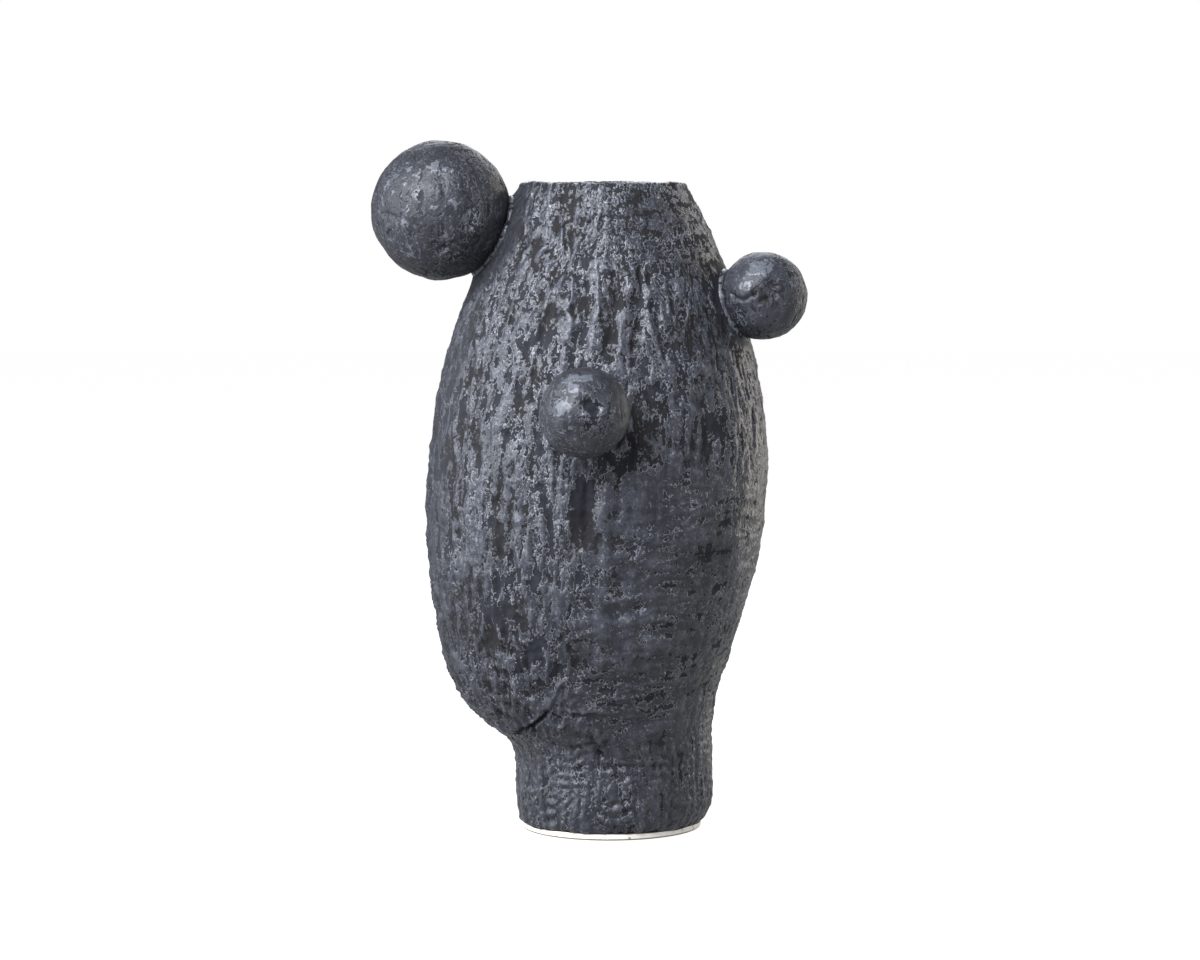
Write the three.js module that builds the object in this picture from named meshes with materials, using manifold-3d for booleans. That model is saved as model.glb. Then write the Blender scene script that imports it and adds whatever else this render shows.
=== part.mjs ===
// A hand-built stoneware vase with three hollow clay balls luted to it.
// Millimetres, +Z up. The origin is the centre of the flat resting face under the foot,
// +X is the vase's right, and -Y is its front, where the front ball stands.
import * as THREE from 'three';
import { mergeVertices } from 'three/addons/utils/BufferGeometryUtils.js';
import Module from 'manifold-3d';

const wasm = await Module();
wasm.setup();

// Heights of the foot and the rim, from the resting face up.
const FLANGE_TOP = 4;
const SLAB_TOP = 10;
const FOOT_TOP = 52;
const RIM_SEAM = 350;
const RIM_TOP = 370;

// The bands of clay that the body is built up from, and the height of each one's top seam.
const BODY_BANDS = {
  underbelly: 98,
  lower_belly: 152,
  middle_belly: 212,
  upper_belly: 276,
  shoulder: RIM_SEAM,
};

// Thickness of the clay.
const FOOT_WALL = 8;
const BODY_WALL = 7;
const RIM_WALL = 6.5;
const BALL_WALL = 7;

// Gaps between pieces: where two are luted together, round the foot's floor, and round
// the seam coil, whose facets don't line up with the walls it lies against.
const LUTED_GAP = 0.3;
const FLOOR_GAP = 1;
const SEAM_COIL_GAP = 0.6;

// Small shapes.
const FLANGE_BOTTOM_INSET = 1.5;
const FLANGE_TOP_INSET = 1;
const SEAM_COIL_HALF_HEIGHT = 6;
const SEAM_COIL_BULGE = 5;
const LIP_CORNER = 1.5;

// The outside of foot and body: height, then how far the outline stands from the foot's axis.
// The body leans over the foot on its left and runs smoothly into it on its right.
const LEFT_OUTLINE = [
  [0, 52.5], [9, 55], [37, 56], [50, 58], [60, 73.5], [84, 91], [130, 102.5],
  [180, 106.5], [222, 104], [268, 96], [308, 83], [337, 70], [360, 58], [370, 52],
];
const RIGHT_OUTLINE = [
  [0, 52.5], [9, 56], [50, 56.5], [72, 57.5], [95, 65], [130, 76], [164, 85],
  [204, 88], [245, 86], [297, 73], [337, 58], [360, 46], [370, 40],
];
const FRONT_AND_BACK_OUTLINE = [
  [0, 52], [9, 55], [50, 56], [68, 62], [95, 74], [130, 84], [175, 89],
  [222, 88], [268, 80], [308, 68], [337, 57], [360, 49], [370, 45],
];

// The balls: centre, radius, and the point inside the body that each one leans towards.
const BALLS = {
  large_ball: { centre: [-97.5, -14, 354], radius: 39.5, towards: [-20, 0, 312] },
  right_ball: { centre: [84.5, -25, 306], radius: 25, towards: [0, 0, 290] },
  front_ball: { centre: [-16, -105, 245], radius: 25, towards: [-10, 0, 240] },
};
const HOLLOW_SHIFT = 0.12;
const VENT_RADIUS = 4;
const VENT_REACH_INTO_BODY = 20;
const COLLAR_ON_BALL = 3.5;
const COLLAR_ON_BODY = 5;

// Fineness of the facets: how many go round, and how far apart the heights are.
const FACETS_AROUND = 40;
const BALL_FACETS = 24;
const BALL_ROWS = 14;
const VENT_FACETS = 12;
const SEAM_COIL_FACETS = 4;
const BODY_STEP = 16;
const UNDERBELLY_STEP = 9;
const UNDERBELLY_CROWDING = 1.3;
const FOOT_STEP = 8.5;

// A lathe is turned at this radius, then wrapped onto the body's own outline.
const TURNING_RADIUS = 100;

const glaze = { color: '#55575e', roughness: 0.55, metalness: 0 };
const insideGlaze = { color: '#4b4d53', roughness: 0.6, metalness: 0 };
const bareClay = { color: '#e4ddd0', roughness: 0.9, metalness: 0 };

// Gives an outline's distance at any height, on a smooth curve through its points.
function outline(points) {
  const heights = points.map(([height]) => height);
  const distances = points.map(([, distance]) => distance);
  const curve = new THREE.CubicInterpolant(heights, distances, 1);
  return (height) => curve.evaluate(height)[0];
}

const left = outline(LEFT_OUTLINE);
const right = outline(RIGHT_OUTLINE);
const depth = outline(FRONT_AND_BACK_OUTLINE);

// Moves each point of a lathe to the body's outline at its height. A point turned at
// TURNING_RADIUS - inset lands inset millimetres inside the outline; the axis stays the axis.
function wrapOntoOutline(geometry) {
  const points = geometry.getAttribute('position');
  for (let i = 0; i < points.count; i += 1) {
    const z = points.getZ(i);
    const turned = Math.hypot(points.getX(i), points.getY(i));
    const centre = (right(z) - left(z)) / 2;
    if (turned < 1e-6) {
      points.setXYZ(i, centre, 0, z);
      continue;
    }
    const inset = TURNING_RADIUS - turned;
    const halfWidth = (right(z) + left(z)) / 2 - inset;
    const halfDepth = depth(z) - inset;
    const x = centre + (halfWidth * points.getX(i)) / turned;
    const y = (halfDepth * points.getY(i)) / turned;
    points.setXYZ(i, x, y, z);
  }
  return geometry;
}

// Turns a profile of [inset, height] points about the vertical axis and wraps it.
function turnedAndWrapped(profile) {
  const points = profile.map(([inset, z]) => new THREE.Vector2(TURNING_RADIUS - inset, z));
  const geometry = new THREE.LatheGeometry(points, FACETS_AROUND);
  geometry.rotateX(Math.PI / 2);
  return wrapOntoOutline(geometry);
}

// Heights from low to high, evenly spaced, or closer together near the low end where
// crowding is above 1.
function heightsBetween(low, high, step, crowding = 1) {
  const count = Math.max(1, Math.round((high - low) / step));
  const share = (i) => (i / count) ** crowding;
  return Array.from({ length: count + 1 }, (_, i) => low + (high - low) * share(i));
}

// A closed ring of wall through a list of heights.
function wallSection(heights, thickness) {
  const outside = heights.map((z) => [0, z]);
  const inside = heights.toReversed().map((z) => [thickness, z]);
  return turnedAndWrapped([...outside, ...inside, outside[0]]);
}

// The whole body as one solid, grown outwards by a margin: the tool that seats the balls.
function bodySolid(margin) {
  const sides = heightsBetween(FOOT_TOP, RIM_TOP, BODY_STEP).map((z) => [-margin, z]);
  const onAxis = TURNING_RADIUS;
  return solid(turnedAndWrapped([[onAxis, FOOT_TOP], ...sides, [onAxis, RIM_TOP]]));
}

// Turns closed geometry into a solid that can be joined and cut.
function solid(geometry) {
  const bare = geometry.clone();
  bare.deleteAttribute('normal');
  bare.deleteAttribute('uv');
  const merged = mergeVertices(bare, 1e-4);
  const vertProperties = new Float32Array(merged.getAttribute('position').array);
  const triVerts = new Uint32Array(merged.getIndex().array);
  return new wasm.Manifold(new wasm.Mesh({ numProp: 3, vertProperties, triVerts }));
}

function geometryOf(manifold) {
  const mesh = manifold.getMesh();
  const geometry = new THREE.BufferGeometry();
  geometry.setAttribute('position', new THREE.BufferAttribute(mesh.vertProperties, 3));
  geometry.setIndex(new THREE.BufferAttribute(mesh.triVerts, 1));
  geometry.computeVertexNormals();
  return geometry;
}

function ballSolid(centre, radius) {
  const geometry = new THREE.SphereGeometry(radius, BALL_FACETS, BALL_ROWS);
  return solid(geometry.translate(centre.x, centre.y, centre.z));
}

// The firing vent that joins a ball's hollow to the inside of the body.
function ventSolid(ball) {
  const from = new THREE.Vector3(...ball.centre);
  const direction = new THREE.Vector3(...ball.towards).sub(from).normalize();
  const length = ball.radius + VENT_REACH_INTO_BODY;
  const geometry = new THREE.CylinderGeometry(VENT_RADIUS, VENT_RADIUS, length, VENT_FACETS);
  const turn = new THREE.Quaternion().setFromUnitVectors(new THREE.Vector3(0, 1, 0), direction);
  const middle = from.clone().addScaledVector(direction, length / 2);
  geometry.applyQuaternion(turn);
  return solid(geometry.translate(middle.x, middle.y, middle.z));
}

// A hollow ball, cut to sit on the body. Its hollow lies a little away from the seat.
function hollowBall(ball) {
  const centre = new THREE.Vector3(...ball.centre);
  const outwards = centre.clone().sub(new THREE.Vector3(...ball.towards)).normalize();
  const shift = ball.radius * HOLLOW_SHIFT;
  const hollowRadius = ball.radius - BALL_WALL - shift;
  const hollow = ballSolid(centre.clone().addScaledVector(outwards, shift), hollowRadius);
  return geometryOf(
    ballSolid(centre, ball.radius)
      .subtract(bodySolid(LUTED_GAP))
      .subtract(hollow)
      .subtract(ventSolid(ball)),
  );
}

// The ring of clay pressed into the corner between a ball and the body: everything within
// a short distance of both of them.
function collar(ball) {
  const centre = new THREE.Vector3(...ball.centre);
  return geometryOf(
    ballSolid(centre, ball.radius + COLLAR_ON_BALL)
      .intersect(bodySolid(COLLAR_ON_BODY))
      .subtract(ballSolid(centre, ball.radius + LUTED_GAP))
      .subtract(bodySolid(LUTED_GAP)),
  );
}

// The bare slab under the foot: a flange that the wall stands on, and a floor inside it.
function footSlab() {
  const onAxis = TURNING_RADIUS;
  const floorInset = FOOT_WALL + FLOOR_GAP;
  return turnedAndWrapped([
    [onAxis, 0],
    [FLANGE_BOTTOM_INSET, 0],
    [FLANGE_TOP_INSET, FLANGE_TOP],
    [floorInset, FLANGE_TOP],
    [floorInset, SLAB_TOP],
    [onAxis, SLAB_TOP],
  ]);
}

function footWall() {
  const heights = heightsBetween(FLANGE_TOP + LUTED_GAP, FOOT_TOP - LUTED_GAP, FOOT_STEP);
  return wallSection(heights, FOOT_WALL);
}

// The coil pressed into the seam inside the vase, where the body overhangs the foot.
function seamCoil() {
  const wallSide = FOOT_WALL + SEAM_COIL_GAP;
  const low = FOOT_TOP - SEAM_COIL_HALF_HEIGHT;
  const high = FOOT_TOP + SEAM_COIL_HALF_HEIGHT;
  const profile = heightsBetween(low, high, SEAM_COIL_HALF_HEIGHT / 2).map((z) => [wallSide, z]);
  for (let i = 1; i < SEAM_COIL_FACETS; i += 1) {
    const angle = (Math.PI * i) / SEAM_COIL_FACETS;
    const inset = wallSide + SEAM_COIL_BULGE * Math.sin(angle);
    profile.push([inset, FOOT_TOP + SEAM_COIL_HALF_HEIGHT * Math.cos(angle)]);
  }
  return turnedAndWrapped([...profile, profile[0]]);
}

// A band of the body's wall, with a vent through it wherever one passes. The lowest band
// curls in under the left side, so its heights crowd towards the foot.
function bodyBand(low, high) {
  const top = high - LUTED_GAP;
  const lowest = low === FOOT_TOP;
  const heights = lowest
    ? heightsBetween(low, top, UNDERBELLY_STEP, UNDERBELLY_CROWDING)
    : heightsBetween(low, top, BODY_STEP);
  let wall = solid(wallSection(heights, BODY_WALL));
  for (const ball of Object.values(BALLS)) {
    wall = wall.subtract(ventSolid(ball));
  }
  return geometryOf(wall);
}

// The coil that closes the mouth, with a flat lip whose corners are rubbed round.
function rimCoil() {
  const halfway = (RIM_SEAM + RIM_TOP) / 2;
  const profile = [
    [0, RIM_SEAM],
    [0, halfway],
    [0, RIM_TOP - LIP_CORNER],
    [LIP_CORNER, RIM_TOP],
    [RIM_WALL - LIP_CORNER, RIM_TOP],
    [RIM_WALL, RIM_TOP - LIP_CORNER],
    [RIM_WALL, halfway],
    [RIM_WALL, RIM_SEAM],
  ];
  return turnedAndWrapped([...profile, profile[0]]);
}

const vase = new THREE.Group();

function add(name, geometry, finish) {
  const mesh = new THREE.Mesh(geometry, new THREE.MeshStandardMaterial(finish));
  mesh.name = name;
  vase.add(mesh);
}

add('foot_slab', footSlab(), bareClay);
add('foot_wall', footWall(), glaze);
add('seam_coil', seamCoil(), insideGlaze);
let seam = FOOT_TOP;
for (const [name, topSeam] of Object.entries(BODY_BANDS)) {
  add(name, bodyBand(seam, topSeam), glaze);
  seam = topSeam;
}
add('rim_coil', rimCoil(), glaze);
for (const [name, ball] of Object.entries(BALLS)) {
  add(name, hollowBall(ball), glaze);
  add(`${name}_collar`, collar(ball), glaze);
}

export default vase;
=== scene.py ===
# The looks of a hand-built stoneware vase with three clay balls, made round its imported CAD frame.
# Shapes are worked out in millimetres in the frame's axes (+Z up, -Y the front) and stored in metres.
import math

import bpy
import numpy as np
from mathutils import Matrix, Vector
from mathutils.bvhtree import BVHTree


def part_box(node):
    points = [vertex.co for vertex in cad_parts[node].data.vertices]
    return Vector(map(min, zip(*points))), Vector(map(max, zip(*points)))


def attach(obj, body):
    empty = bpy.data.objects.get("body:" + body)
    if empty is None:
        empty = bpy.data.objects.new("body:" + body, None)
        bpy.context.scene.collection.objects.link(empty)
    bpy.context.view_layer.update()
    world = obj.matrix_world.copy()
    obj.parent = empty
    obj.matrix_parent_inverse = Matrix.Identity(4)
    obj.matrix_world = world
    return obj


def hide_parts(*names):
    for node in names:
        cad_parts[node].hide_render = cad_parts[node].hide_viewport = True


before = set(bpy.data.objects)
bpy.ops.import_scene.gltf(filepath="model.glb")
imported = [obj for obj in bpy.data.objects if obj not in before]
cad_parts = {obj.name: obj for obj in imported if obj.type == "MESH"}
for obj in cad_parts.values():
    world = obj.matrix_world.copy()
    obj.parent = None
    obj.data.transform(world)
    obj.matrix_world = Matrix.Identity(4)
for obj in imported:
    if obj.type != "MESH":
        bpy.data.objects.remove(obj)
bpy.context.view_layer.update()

MM_PER_M = 1000.0


def rgb(r, g, b):
    return (r, g, b, 1.0)


# ---- Driving numbers, in millimetres unless said otherwise ----

# Fineness of the visible meshes.
COLUMNS = 560                 # vertices round the outside of the vase
INNER_COLUMNS = COLUMNS // 2  # vertices round the inside
INNER_ROW = 2.0
BODY_ROW = 1.05
FINER_ROWS = {"foot_wall": 0.8, "underbelly": 0.7}
LIP_ROWS = 18
NECK_ROWS = 24                # down the inside of the neck
SLAB_ROWS = 30                # from the middle of the slab to its edge
SLAB_EDGE_ROWS = 5            # in each part of the slab's edge, give or take one
SLAB_MIDDLE = 0.03            # share of the radius at which the slab's rings start
COIL_SIDES = 28
COLLAR_STEPS = 200            # round each joint
COLLAR_SIDES = 20
BALL_FACE_STEPS = {"large_ball": 118, "right_ball": 84, "front_ball": 84}
JOINT_SEARCH = (30, 100)      # halvings, and degrees from the joint's middle, in which a collar is placed

# How the CAD outline is read back: rays round the vase, and the facets smoothed away.
READ_DIRECTIONS = 120
READ_HEIGHT_STEP = 1.0
READ_MARGIN = 0.4             # kept from the foot's and the body's ends
READ_TOP_MARGIN = 2.0
KEPT_WAVES = 9
OUTLINE_BLUR = 7.0
RAY_START = 300.0
OFF_EDGE = 0.37               # keeps a ray off the facets' shared edges
VENT_ROWS = 25                # more rows than a vent hole is high
WRONG_READING = 12.0
BALL_FIT_ROUNDS = 12
BALL_FIT_FROM = 0.55          # only the outer vertices of a hollow ball are fitted

# The built walls, from the foot up, and their thicknesses.
WALLS = ("foot_wall", "underbelly", "lower_belly", "middle_belly", "upper_belly", "shoulder", "rim_coil")
FOOT_WALL = 8.0
BODY_WALL = 7.0
RIM_WALL = 6.5

FOOT_TO_BODY = (52, 66)       # heights over which the foot's relief becomes the body's
LIP_ROUNDING = 2.6
LIP_WAVE = 1.1
LIP_WAVE_LOOP = 22            # radius of the ring in the noise that the wave is read from
LIP_WAVE_REACH = (26, 3)      # the wave fades in between these depths below the rim
LIP_RELIEF = 0.2              # share of the relief that the lip and the inside of the neck keep
INSIDE_FROM = 0.62            # share of the rim's rows after which the inner glaze starts
FOOT_EDGE = (1.3, 2.2)        # inset and height of the rounded bottom edge
FOOT_EDGE_RIGHT = (4.2, 12.0)  # the same at the right, where it is rounder
FOOT_EDGE_TURN = 0.5          # radians forward from the right to where it is roundest
FLANGE_INSET = 0.5
FLANGE_FLARE = 0.4            # share of that inset that is gone at the top of the slab's edge
SLAB_GAP = 0.1                # under the foot wall
SLAB_ROUNDING = 1.2
SLAB_RELIEF = 0.22
SLAB_CLEARANCE = 0.6          # between the slab's raised floor and the foot wall
COIL_CLEARANCE = 0.7
COIL_BULGE = 5.0
COIL_RELIEF = 0.5
INNER_DENTS = 0.5
VENT_RECESS = 4.0
VENT_EDGE = (3.2, 4.6)        # the recess round a vent fades out between these radii

# The relief of the worked clay, and how the fingers smoothed it round each ball.
RELIEF_DEPTH = 1.45
LOW_RELIEF_EXTRA = 0.5        # the strokes are deeper low on the body
LOW_RELIEF_ENDS = (120, 200)
RIGHT_RELIEF_LOSS = 0.35      # share of the relief that the right side lacks
DRIFT = 2.0                   # how far the strokes wander
MARK_DRIFT = 2.2
MARK_END = 0.02               # how shallow a mark gets at its ends, and a fold in a ball likewise
FOLD_END = 0.05
UPRIGHT_STROKES = 46          # round the foot
LEVEL_STROKE = 6.4            # height of one level stroke
SMOOTHED_REACH = {"large_ball": 17.0, "right_ball": 8.0, "front_ball": 7.0}
SMOOTHED_RELIEF_LOSS = 0.88   # share of the relief that the fingers took away there
JOINT_SWELL = 2.0
JOINT_SWELL_REACH = 4.5

# Areas of the body: degrees round from the front and heights, each as low end, high end and soft margin.
RIGHT_BELLY = ((8, 75, 22), (78, 190, 30))
RIGHT_OF_RIM = ((8, 80, 14), (330, 362, 12))
# The left edge is smoothed and darkened: partly smoother clay, partly painted shade down that side.
SMOOTHED_AND_SHADED_LEFT_EDGE = ((-112, -68, 12), (105, 290, 25))

# How the glaze covers the body.
MATTE_SHARE = 0.44
CALM_COVER = 0.42             # extra satin glaze where it lies evenly
MARK_LOSS = 1.6               # the satin glaze runs out of grooves deeper than this
# How far the listed patches strip the satin glaze, leaving the darkest brown; in some of them this is painted
# shade.
BARE_AND_SHADE_LOSS = 0.9

# Balls and collars.
SEAT_SINK = 2.0
COLLAR_STAND_OFF = 1.1
COLLAR_THICKNESS = 1.9
# A painted highlight: the collar's glaze is made pale all round, standing in for the bright line along each
# bead.
COLLAR_HIGHLIGHT_TONE = 0.9             # how light a collar's glaze is, as a height
BALL_INSET = 0.25             # keeps the relief inside the CAD ball's size
BALL_RELIEF = 1.5
BALL_MARKS = 1.2              # how strongly the dents and folds below are pressed in
BALL_SEEDS = {"large_ball": 100, "right_ball": 200, "front_ball": 300}
BALL_MATTE_SHARE = {"large_ball": 0.30, "right_ball": 0.26, "front_ball": 0.36}
BALL_TONE = {"large_ball": -0.22, "right_ball": 0.45, "front_ball": 0.15}  # as a height, like COLLAR_HIGHLIGHT_TONE
BALL_RAGGED = 0.4             # share of the body's speckle on balls and collars
BALL_SMOOTHNESS = 0.58        # share of the smoothed clay where a ball has no thick glaze
BARE_BELOW = -0.3             # patch strength below which a ball is bare
BALL_DRIFT = 1.6
BALL_MARK_DRIFT = 0.035       # how far the dents and folds wander, as a share of the radius
PATCH_HEIGHT = 0.22           # how far the thick patches stand up
CRACK_DEPTH = 0.22

# Dents in each ball: direction from its centre, size and depth (below 0 is a lump).
BALL_DENTS = {
    "large_ball": [
        ((-0.60, -0.66, -0.42), 2.6, 0.9),
        ((-0.02, -0.93, 0.36), 7.0, 0.9),
        ((0.46, -0.88, -0.10), 6.0, 1.2),
        ((-0.15, -0.97, -0.05), 6.0, -0.6),
        ((0.16, -0.80, -0.60), 3.0, -0.8),
    ],
    "right_ball": [
        ((-0.42, -0.90, 0.14), 4.5, -0.9),
        ((0.05, -0.99, 0.06), 3.4, 0.8),
        ((-0.35, -0.86, 0.36), 5.0, -0.5),
        ((-0.60, -0.66, -0.42), 6.0, 0.6),
    ],
    "front_ball": [
        ((0.20, -0.96, 0.16), 4.2, 2.2),
        ((0.12, -0.97, -0.20), 3.0, 1.6),
        ((-0.40, -0.82, -0.42), 4.0, 0.5),
    ],
}

# Folds in each ball: directions of both ends, half width and depth (below 0 is a raised line).
BALL_FOLDS = {
    "large_ball": [
        ((-0.84, -0.53, -0.06), (-0.57, -0.82, -0.06), 1.1, 1.0),
        ((-0.57, -0.82, -0.06), (-0.55, -0.78, -0.30), 1.1, 1.0),
        ((-0.86, -0.50, -0.10), (-0.80, -0.46, -0.38), 1.0, 0.7),
        ((0.06, -0.87, -0.49), (0.20, -0.84, -0.51), 1.0, 0.9),
        ((0.20, -0.84, -0.51), (0.24, -0.74, -0.63), 1.0, 0.9),
        ((0.24, -0.74, -0.63), (0.13, -0.67, -0.73), 1.0, 0.8),
        ((-0.03, -0.99, -0.13), (0.0, -0.91, -0.40), 0.8, -0.7),
        ((0.06, -0.99, -0.15), (0.08, -0.91, -0.38), 0.8, 0.6),
        ((0.30, -0.87, 0.38), (0.52, -0.84, 0.10), 1.5, 0.7),
        ((0.62, -0.72, 0.30), (0.74, -0.66, -0.10), 1.0, 0.6),
    ],
    "right_ball": [
        ((-0.78, -0.62, 0.07), (-0.46, -0.88, -0.09), 1.3, 1.5),
        ((-0.46, -0.88, -0.09), (-0.18, -0.98, 0.09), 1.3, 1.4),
        ((-0.15, -0.97, -0.14), (0.40, -0.90, 0.14), 1.5, 1.4),
        ((-0.05, -0.93, 0.36), (0.36, -0.91, 0.20), 1.5, 1.4),
        ((0.66, -0.46, 0.60), (0.88, -0.46, -0.11), 0.9, 0.7),
        ((0.52, -0.66, 0.54), (0.72, -0.66, 0.22), 0.8, 0.6),
        ((-0.09, -0.59, -0.80), (0.59, -0.34, -0.73), 0.9, 0.6),
    ],
    "front_ball": [
        ((-0.06, -0.99, 0.0), (0.50, -0.86, 0.0), 0.8, -1.0),
        ((0.48, -0.80, 0.36), (0.56, -0.80, -0.22), 0.8, 0.8),
        ((0.62, -0.70, 0.36), (0.70, -0.68, -0.20), 0.7, 0.8),
        ((0.76, -0.58, 0.30), (0.80, -0.58, -0.16), 0.7, 0.8),
        ((-0.40, -0.52, -0.76), (0.02, -0.62, -0.78), 0.8, 0.6),
        ((-0.34, -0.38, -0.86), (0.10, -0.48, -0.87), 0.7, 0.6),
        ((-0.44, -0.50, 0.75), (0.16, -0.60, 0.78), 0.9, 0.5),
    ],
}

# Where the satin glaze lies thick on each ball: direction, size and strength (below 0 is bare).
BALL_PATCHES = {
    "large_ball": [
        ((-0.03, -0.76, 0.64), 4.5, 1.1),
        ((0.17, -0.79, 0.59), 2.6, 1.0),
        ((-0.42, -0.72, 0.50), 8.0, 0.6),
        ((-0.80, -0.55, 0.20), 8.0, 0.6),
        ((-0.06, -0.99, 0.04), 2.8, 0.9),
        ((0.22, -0.96, 0.10), 3.6, 0.8),
        ((-0.44, -0.88, 0.0), 3.0, 0.9),
        ((-0.38, -0.72, -0.58), 8.0, 0.6),
        ((-0.48, -0.85, -0.18), 3.0, 0.9),
        ((0.50, -0.85, -0.13), 6.5, -0.9),
        ((0.30, -0.70, -0.66), 6.0, -0.5),
        ((-0.30, -0.92, 0.24), 5.0, -0.5),
    ],
    "right_ball": [
        ((0.0, -0.70, 0.70), 6.0, 1.2),
        ((-0.25, -0.72, 0.62), 4.0, 0.9),
        ((-0.45, -0.85, 0.20), 5.0, 0.7),
        ((0.66, -0.66, 0.30), 4.0, 0.5),
        ((-0.62, -0.60, -0.50), 7.0, -0.7),
        ((0.10, -0.99, 0.0), 5.0, -0.5),
    ],
    "front_ball": [
        ((-0.30, -0.55, 0.78), 4.0, 1.5),
        ((0.06, -0.60, 0.79), 3.2, 1.4),
        ((-0.22, -0.78, 0.58), 3.2, 1.2),
        ((-0.46, -0.86, 0.20), 4.0, 1.3),
        ((-0.28, -0.95, 0.12), 2.0, 1.0),
        ((-0.62, -0.78, 0.02), 3.0, 1.0),
        ((-0.30, -0.88, -0.38), 5.0, 0.6),
        ((0.72, -0.66, 0.05), 4.0, 0.6),
        ((0.20, -0.96, 0.12), 5.5, -1.2),
        ((0.14, -0.96, -0.24), 4.0, -0.8),
    ],
}

# Marks in the front of the body: x and z of both ends, half width, height (below 0 is a groove).
FRONT_MARKS = [
    (-57, 57, -34, 77, 1.1, -3.6),
    (-50, 65, -38, 76, 1.4, 1.0),
    (-34, 77, -2, 75.5, 0.9, 0.9),
    (-32, 74.5, 0, 73, 1.1, -1.0),
    (-8, 47, -7, 51, 1.7, -2.2),
    (0, 81, 2, 83, 1.5, 1.2),
    (24, 69, 26, 71, 1.5, 1.2),
    (-14, 68, -12, 70, 1.4, 1.1),
    (14, 106, 48, 105, 2.6, -1.2),
    (-16, 166, -18, 206, 5.5, -1.6),
    (-9, 92, -5, 168, 3.6, 1.1),
    (5, 84, 9, 156, 3.8, 1.0),
    (18, 94, 20, 148, 3.2, 0.9),
    (-8, 178, -2, 206, 3.0, 1.2),
    (4, 180, 10, 212, 3.2, 1.0),
    (-30, 262, -22, 318, 3.6, 1.3),
    (-12, 270, -6, 330, 3.4, 1.5),
    (3, 268, 10, 322, 3.4, 1.5),
    (18, 262, 20, 312, 3.0, 1.2),
    (-20, 262, -14, 300, 3.2, -1.3),
    (-3, 268, 3, 318, 3.0, -1.3),
    (12, 276, 15, 330, 2.8, -1.2),
    (-14, 176, -16, 206, 2.2, -1.3),
    (-24, 168, -27, 205, 2.8, 1.1),
    (10, 172, 14, 200, 3.0, 1.1),
    (-72, 150, -74, 215, 4.0, 1.1),
    (-62, 140, -63, 200, 3.2, -1.2),
    (-50, 150, -53, 225, 3.6, 1.1),
    (-60, 230, -52, 290, 3.6, 1.1),
    (-45, 245, -38, 300, 3.0, -1.1),
]

# Patches of the front: x and z of the middle, half width and half height. The first four are painted shade,
# right of and below the front ball and left of the right ball; the rest have little glaze.
BARE_AND_SHADE_PATCHES = [
    (19, 236, 11, 24),
    (4, 216, 13, 7),
    (-17, 190, 6, 22),
    (60, 306, 6, 19),
    (-66, 128, 8, 12),
    (-64, 178, 6, 17),
    (-46, 108, 9, 9),
    (58, 236, 7, 10),
]

# Colours of the glazes and the clay.
SLATE_DARK = rgb(0.009, 0.0102, 0.0145)
SLATE_LIGHT = rgb(0.017, 0.0190, 0.0255)
SLATE_BLUE = rgb(0.0465, 0.0508, 0.0640)
BROWN_DARK = rgb(0.0034, 0.0028, 0.0040)
BROWN_LIGHT = rgb(0.0062, 0.0072, 0.0125)
THICK_GLAZE = rgb(0.088, 0.094, 0.110)
# A painted highlight for the edges of the satin glaze.
GLAZE_EDGE_HIGHLIGHT = rgb(0.225, 0.232, 0.255)
# Painted glints: tiny pale specks on the glaze.
PIN_GLINT = rgb(0.14, 0.142, 0.152)
SMOOTHED_CLAY = rgb(0.0115, 0.0125, 0.0170)
INNER_DARK = rgb(0.014, 0.014, 0.016)
INNER_LIGHT = rgb(0.034, 0.034, 0.039)
CLAY_DARK = rgb(0.74, 0.70, 0.62)
CLAY_LIGHT = rgb(0.90, 0.87, 0.81)
CLAY_SPOT = rgb(0.40, 0.31, 0.22)
DARK_BROWN_LINE = rgb(0.16, 0.10, 0.06)
SATIN_ROUGHNESS = 0.29
SMOOTHED_ROUGHNESS = 0.68
MATTE_ROUGHNESS = 0.85
GLAZE_IOR = 1.45
GLAZE_LINE = 3.6              # height of the glaze's edge over the table

# The camera and the light, in metres, degrees and watts.
CAMERA_PLACE = (-0.0075, -2.15, 0.372)
CAMERA_TILT = 90 - 4.577
CAMERA_LENS = 113.0
SENSOR_WIDTH = 36.0
LIT_MIDDLE = (0, 0, 0.2)      # what the softboxes point at
# Softboxes: azimuth (0 is the front, positive its right), elevation, distance, width, height, power, colour.
SOFTBOXES = {
    "left_softbox": (-72, 12, 1.35, 1.5, 1.7, 43, (0.90, 0.935, 1.0)),
    "top_softbox": (-28, 44, 1.5, 1.0, 0.9, 48, (0.91, 0.94, 1.0)),
    "right_fill": (62, 6, 1.8, 1.2, 1.2, 10, (0.91, 0.94, 1.0)),
    "right_strip": (128, 12, 1.2, 0.4, 1.2, 7, (1.0, 0.94, 0.86)),
    "back_softbox": (176, 34, 1.8, 1.3, 1.1, 20, (0.93, 0.955, 1.0)),
}
WORLD_COLOUR = rgb(0.89, 0.93, 1.0)
WORLD_ON_OBJECT = 0.105
FLOOR_SIZE = 12.0
FLOOR_DROP = 0.0002           # keeps the floor clear of the vase's underside
FLOOR_COLOUR = rgb(0.15, 0.15, 0.15)
FLOOR_GLOW = 0.975            # what the camera sees
FLOOR_LIGHT = 0.39            # what lights the vase from below

SEED = 7
NOISE_GAIN = 1.6              # brings the noise up to about -1 to 1
GRADIENT_COUNT = 64


# ---- Small helpers ----

def unit(vectors):
    """Vectors of the same directions and length 1."""
    return vectors / np.linalg.norm(vectors, axis=-1, keepdims=True)


def all_round(count):
    """Evenly spaced angles once round, in radians."""
    return np.linspace(0, 2 * math.pi, count, endpoint=False)


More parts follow.
